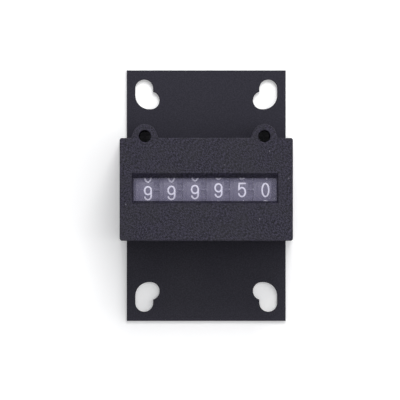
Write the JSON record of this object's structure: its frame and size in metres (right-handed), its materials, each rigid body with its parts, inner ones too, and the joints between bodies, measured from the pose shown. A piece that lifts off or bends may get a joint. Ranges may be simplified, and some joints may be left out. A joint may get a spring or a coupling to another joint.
{
  "type": "panel counter",
  "caption": "Electromechanical figure counter in a grained black case, screwed to a flat adapter plate with kidney slots; wheels read through a front window.",
  "frame": {"origin": "centre of the adapter plate's back face", "axes": "+X to the reader's right, +Y up the plate, +Z out of the window towards the reader"},
  "size_m": [0.0554, 0.0804, 0.0375],
  "materials": {
    "plate_paint": "satin black baked enamel",
    "case_plastic": "fine leather-grained moulding",
    "cover_plastic": "smooth matt moulding",
    "lens_clear": "clear polished acrylic",
    "wheel_plastic": "smooth satin moulding",
    "figure_ink": "printed white figures",
    "pinion_nylon": "natural nylon",
    "ratchet_plastic": "black acetal",
    "steel": "ground",
    "spring_steel": "oiled spring steel",
    "zinc_plate": "zinc-plated sheet",
    "brass": "bright brass",
    "bobbin_plastic": "glass-filled nylon",
    "coil_tape": "varnished winding under dark tape",
    "screw_black": "black-finished steel"
  },
  "bodies": {
    "root": {"mounting_plate": "plate_paint", "case_shell": "case_plastic", "rear_cover": "cover_plastic", "window_lens": "lens_clear", "pinion_spacers": "ratchet_plastic", "wheel_spacers": "ratchet_plastic", "wheel_shaft": "steel", "pinion_shaft": "steel", "armature_pin": "steel", "tie_rods": "steel", "magnet_rivets": "steel", "shaft_clips": "spring_steel", "return_spring": "spring_steel", "side_plate_left": "zinc_plate", "side_plate_right": "zinc_plate", "pole_plate_left": "zinc_plate", "pole_plate_right": "zinc_plate", "magnet_core": "zinc_plate", "terminal_blades": "brass", "coil_bobbin": "bobbin_plastic", "coil_winding": "coil_tape", "ear_screws": "screw_black", "plate_screws": "screw_black", "cover_screws": "screw_black"},
    "units_wheel": {"number_wheel_units": "wheel_plastic", "drive_ratchet": "ratchet_plastic"},
    "tens_wheel": {"number_wheel_tens": "wheel_plastic"},
    "hundreds_wheel": {"number_wheel_hundreds": "wheel_plastic"},
    "thousands_wheel": {"number_wheel_thousands": "wheel_plastic"},
    "ten_thousands_wheel": {"number_wheel_ten_thousands": "wheel_plastic"},
    "hundred_thousands_wheel": {"number_wheel_hundred_thousands": "wheel_plastic"},
    "carry_pinion_1": {"transfer_pinion_1": "pinion_nylon"},
    "carry_pinion_2": {"transfer_pinion_2": "pinion_nylon"},
    "carry_pinion_3": {"transfer_pinion_3": "pinion_nylon"},
    "carry_pinion_4": {"transfer_pinion_4": "pinion_nylon"},
    "carry_pinion_5": {"transfer_pinion_5": "pinion_nylon"},
    "armature_assembly": {"armature": "zinc_plate", "verge": "ratchet_plastic"}
  },
  "joints": [
    {"name": "units_turn", "type": "hinge", "parent": "root", "child": "units_wheel", "pos_m": [0, 0.002, 0.0254], "axis": [1, 0, 0], "continuous": true},
    {"name": "tens_turn", "type": "hinge", "parent": "root", "child": "tens_wheel", "pos_m": [0, 0.002, 0.0254], "axis": [1, 0, 0], "continuous": true},
    {"name": "hundreds_turn", "type": "hinge", "parent": "root", "child": "hundreds_wheel", "pos_m": [0, 0.002, 0.0254], "axis": [1, 0, 0], "continuous": true},
    {"name": "thousands_turn", "type": "hinge", "parent": "root", "child": "thousands_wheel", "pos_m": [0, 0.002, 0.0254], "axis": [1, 0, 0], "continuous": true},
    {"name": "ten_thousands_turn", "type": "hinge", "parent": "root", "child": "ten_thousands_wheel", "pos_m": [0, 0.002, 0.0254], "axis": [1, 0, 0], "continuous": true},
    {"name": "hundred_thousands_turn", "type": "hinge", "parent": "root", "child": "hundred_thousands_wheel", "pos_m": [0, 0.002, 0.0254], "axis": [1, 0, 0], "continuous": true},
    {"name": "carry_pinion_1_turn", "type": "hinge", "parent": "root", "child": "carry_pinion_1", "pos_m": [0, -0.00592, 0.01748], "axis": [1, 0, 0], "continuous": true},
    {"name": "carry_pinion_2_turn", "type": "hinge", "parent": "root", "child": "carry_pinion_2", "pos_m": [0, -0.00592, 0.01748], "axis": [1, 0, 0], "continuous": true},
    {"name": "carry_pinion_3_turn", "type": "hinge", "parent": "root", "child": "carry_pinion_3", "pos_m": [0, -0.00592, 0.01748], "axis": [1, 0, 0], "continuous": true},
    {"name": "carry_pinion_4_turn", "type": "hinge", "parent": "root", "child": "carry_pinion_4", "pos_m": [0, -0.00592, 0.01748], "axis": [1, 0, 0], "continuous": true},
    {"name": "carry_pinion_5_turn", "type": "hinge", "parent": "root", "child": "carry_pinion_5", "pos_m": [0, -0.00592, 0.01748], "axis": [1, 0, 0], "continuous": true},
    {"name": "armature_rock", "type": "hinge", "parent": "root", "child": "armature_assembly", "pos_m": [0, 0.0142, 0.015], "axis": [-1, 0, 0], "range_deg": [0, 4.5], "stiffness_Nm_per_rad": 0.004, "springref_deg": -11.46, "deforming": ["return_spring"]}
  ],
  "couplings": [
    {"joint": "tens_turn", "follows": "units_turn", "ratio": 0.1},
    {"joint": "hundreds_turn", "follows": "units_turn", "ratio": 0.01},
    {"joint": "thousands_turn", "follows": "units_turn", "ratio": 0.001},
    {"joint": "ten_thousands_turn", "follows": "units_turn", "ratio": 0.0001},
    {"joint": "hundred_thousands_turn", "follows": "units_turn", "ratio": 0.00001},
    {"joint": "carry_pinion_1_turn", "follows": "units_turn", "ratio": -0.25},
    {"joint": "carry_pinion_2_turn", "follows": "units_turn", "ratio": -0.025},
    {"joint": "carry_pinion_3_turn", "follows": "units_turn", "ratio": -0.0025},
    {"joint": "carry_pinion_4_turn", "follows": "units_turn", "ratio": -0.00025},
    {"joint": "carry_pinion_5_turn", "follows": "units_turn", "ratio": -0.000025}
  ]
}
